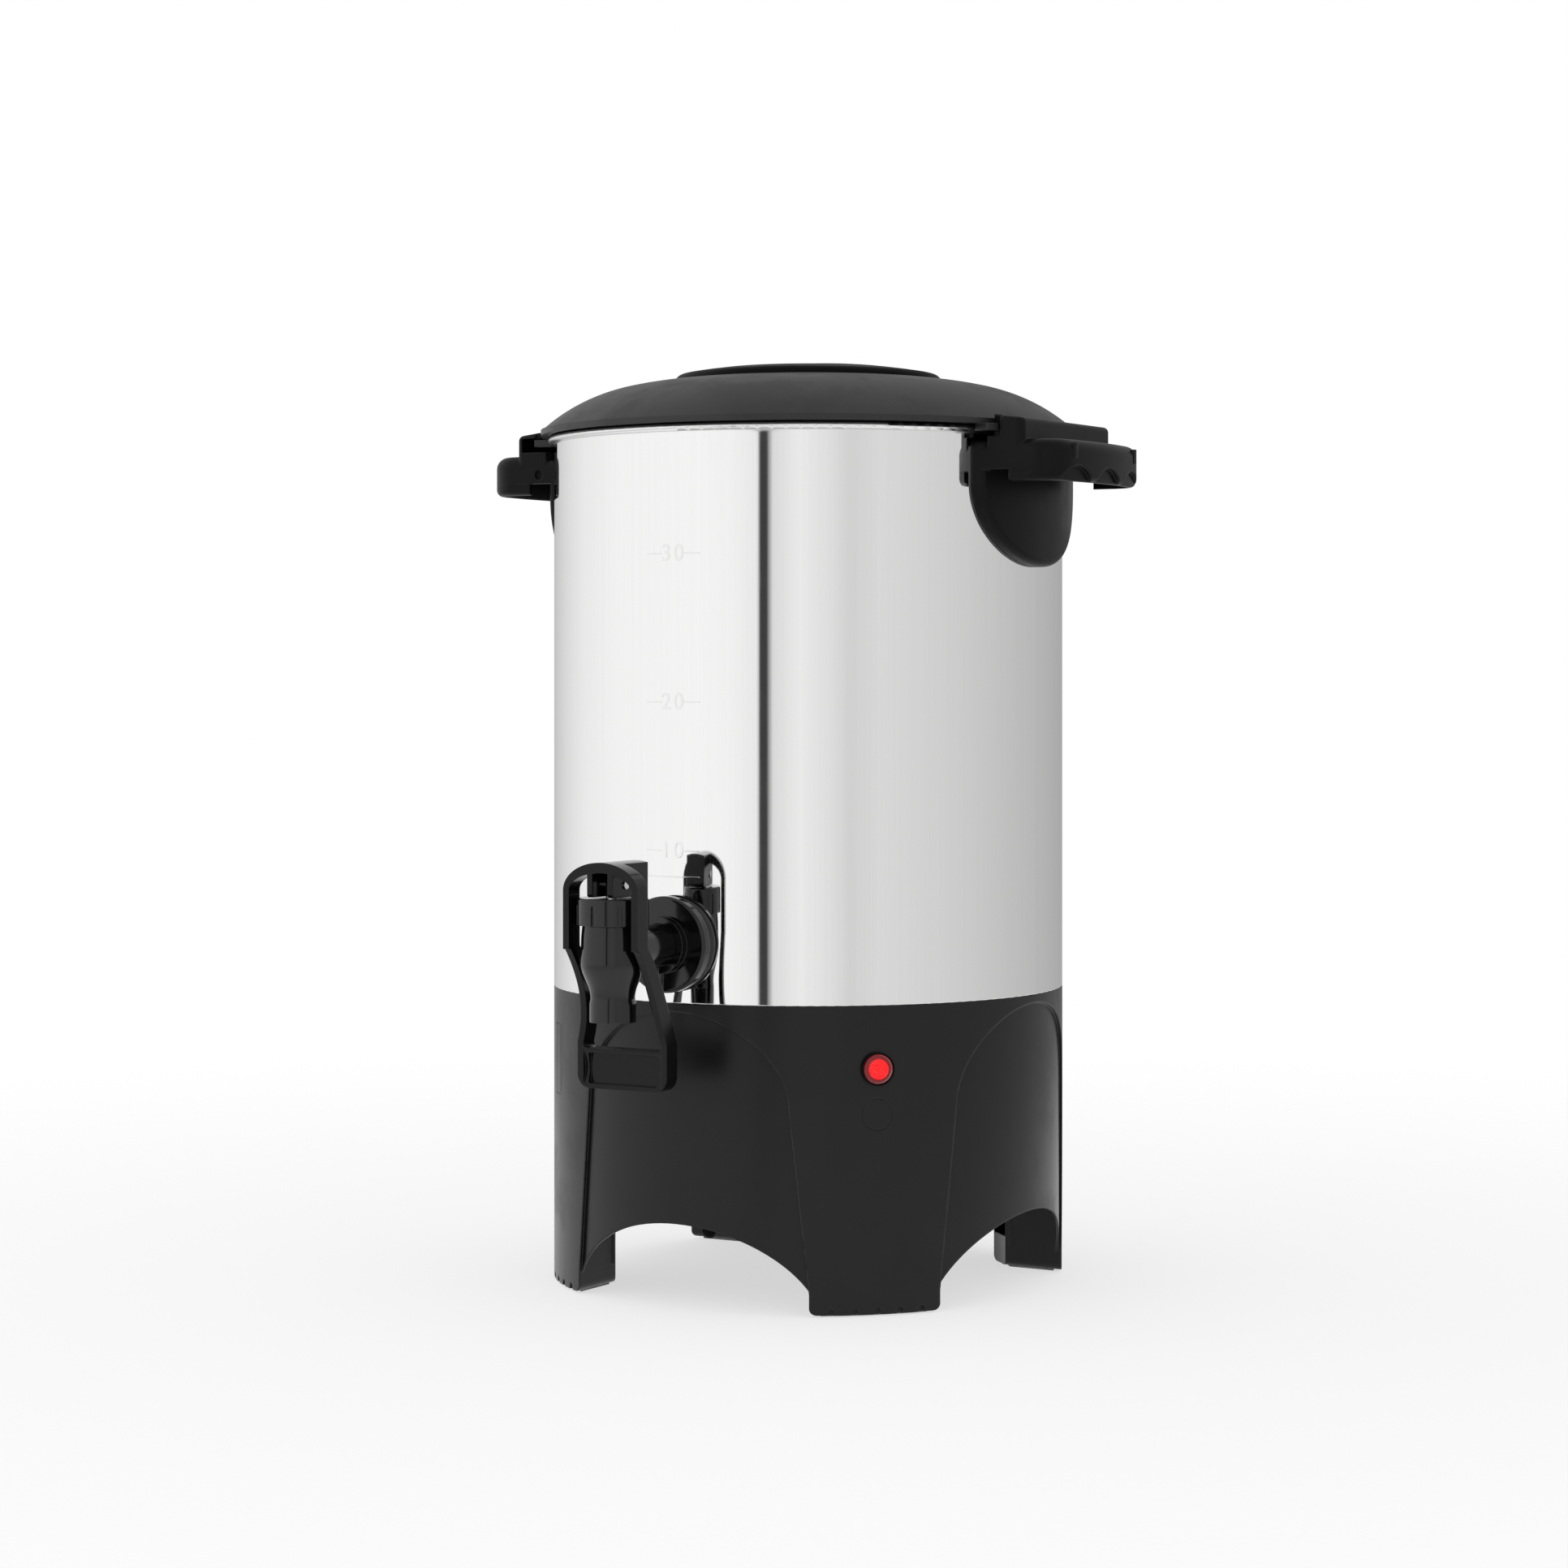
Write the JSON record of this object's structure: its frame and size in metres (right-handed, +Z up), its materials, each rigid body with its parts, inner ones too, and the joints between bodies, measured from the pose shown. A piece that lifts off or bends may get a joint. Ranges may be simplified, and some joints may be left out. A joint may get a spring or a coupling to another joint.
{
  "type": "coffee urn",
  "caption": "Percolating coffee urn with a steel vessel, black arched base, push-back tap, twist-lock lid and side handles.",
  "frame": {"origin": "where the axis of the round vessel meets the surface that the urn stands on", "axes": "+Z up along the vessel's axis; the tap faces -Y and the side handles stand at +X and -X"},
  "size_m": [0.25, 0.2454, 0.3401],
  "materials": {
    "brushed_steel": "satin brushed round the wall",
    "satin_black": "fine satin moulding",
    "gloss_black": "polished moulding",
    "skirt_black": "fine matte moulding",
    "black_rubber": "matte",
    "grey_rubber": "matte",
    "silicone": "satin",
    "aluminium": "satin, pressed",
    "cast_aluminium": "as cast",
    "plated_steel": "bright zinc plate",
    "brass": "satin",
    "mica": "dull pressed mica",
    "ceramic_white": "dull",
    "red_lens": "clear red, faceted",
    "lamp_glass": "clear",
    "wire_sleeve": "satin sleeve"
  },
  "bodies": {
    "root": {"vessel_shell": "brushed_steel", "vessel_floor": "brushed_steel", "base_skirt": "skirt_black", "base_cover": "satin_black", "base_studs": "plated_steel", "base_cap_nuts": "gloss_black", "foot_pads": "grey_rubber", "brew_heater": "cast_aluminium", "warm_heater": "mica", "heater_clamp": "plated_steel", "heater_stud": "plated_steel", "heater_nut": "plated_steel", "thermostat": "ceramic_white", "thermal_fuse": "plated_steel", "terminal_block": "ceramic_white", "mains_wires": "wire_sleeve", "heater_wires": "wire_sleeve", "indicator_lamp_body": "gloss_black", "indicator_lens": "red_lens", "indicator_neon": "lamp_glass", "indicator_retainer": "plated_steel", "inlet_housing": "satin_black", "inlet_pins": "brass", "tap_body": "gloss_black", "tap_flange": "gloss_black", "tap_outer_gasket": "black_rubber", "tap_inner_gasket": "silicone", "tap_nut": "satin_black", "tap_bonnet": "gloss_black", "tap_o_ring": "black_rubber", "right_handle": "satin_black", "right_handle_screws": "plated_steel", "right_handle_washers": "silicone", "left_handle": "satin_black", "left_handle_screws": "plated_steel", "left_handle_washers": "silicone"},
    "lid_carrier": {"lid_grip_screw": "plated_steel"},
    "lid": {"lid_shell": "satin_black", "lid_grip": "gloss_black"},
    "pump": {"pump_tube": "aluminium", "pump_foot": "aluminium"},
    "basket": {"coffee_basket": "aluminium"},
    "spreader": {"basket_spreader": "aluminium"},
    "valve": {"tap_stem": "plated_steel", "tap_seat_cup": "silicone", "tap_spring": "plated_steel"},
    "lever": {"tap_lever": "gloss_black", "tap_lever_pin": "plated_steel"}
  },
  "joints": [
    {"name": "lid_lift", "type": "slide", "parent": "root", "child": "lid_carrier", "axis": [0, 0, 1], "range_m": [0, 0.42]},
    {"name": "lid_turn", "type": "hinge", "parent": "lid_carrier", "child": "lid", "pos_m": [0, 0, 0.3129], "axis": [0, 0, 1], "range_deg": [-28, 0]},
    {"name": "pump_lift", "type": "slide", "parent": "root", "child": "pump", "axis": [0, 0, 1], "range_m": [0, 0.24]},
    {"name": "basket_lift", "type": "slide", "parent": "root", "child": "basket", "axis": [0, 0, 1], "range_m": [0, 0.32]},
    {"name": "spreader_lift", "type": "slide", "parent": "root", "child": "spreader", "axis": [0, 0, 1], "range_m": [0, 0.362]},
    {"name": "stem_lift", "type": "slide", "parent": "root", "child": "valve", "axis": [0, 0, 1], "range_m": [0, 0.002], "deforming": ["tap_spring"]},
    {"name": "lever_tilt", "type": "hinge", "parent": "valve", "child": "lever", "pos_m": [0, -0.133, 0.1522], "axis": [1, 0, 0], "range_deg": [0, 12], "stiffness_Nm_per_rad": 0.35, "springref_deg": -11.46}
  ],
  "couplings": [
    {"joint": "pump_lift", "follows": "lid_lift", "ratio": 0.57},
    {"joint": "basket_lift", "follows": "lid_lift", "ratio": 0.76},
    {"joint": "spreader_lift", "follows": "lid_lift", "ratio": 0.86},
    {"joint": "stem_lift", "follows": "lever_tilt", "m_per_rad": 0.009}
  ]
}
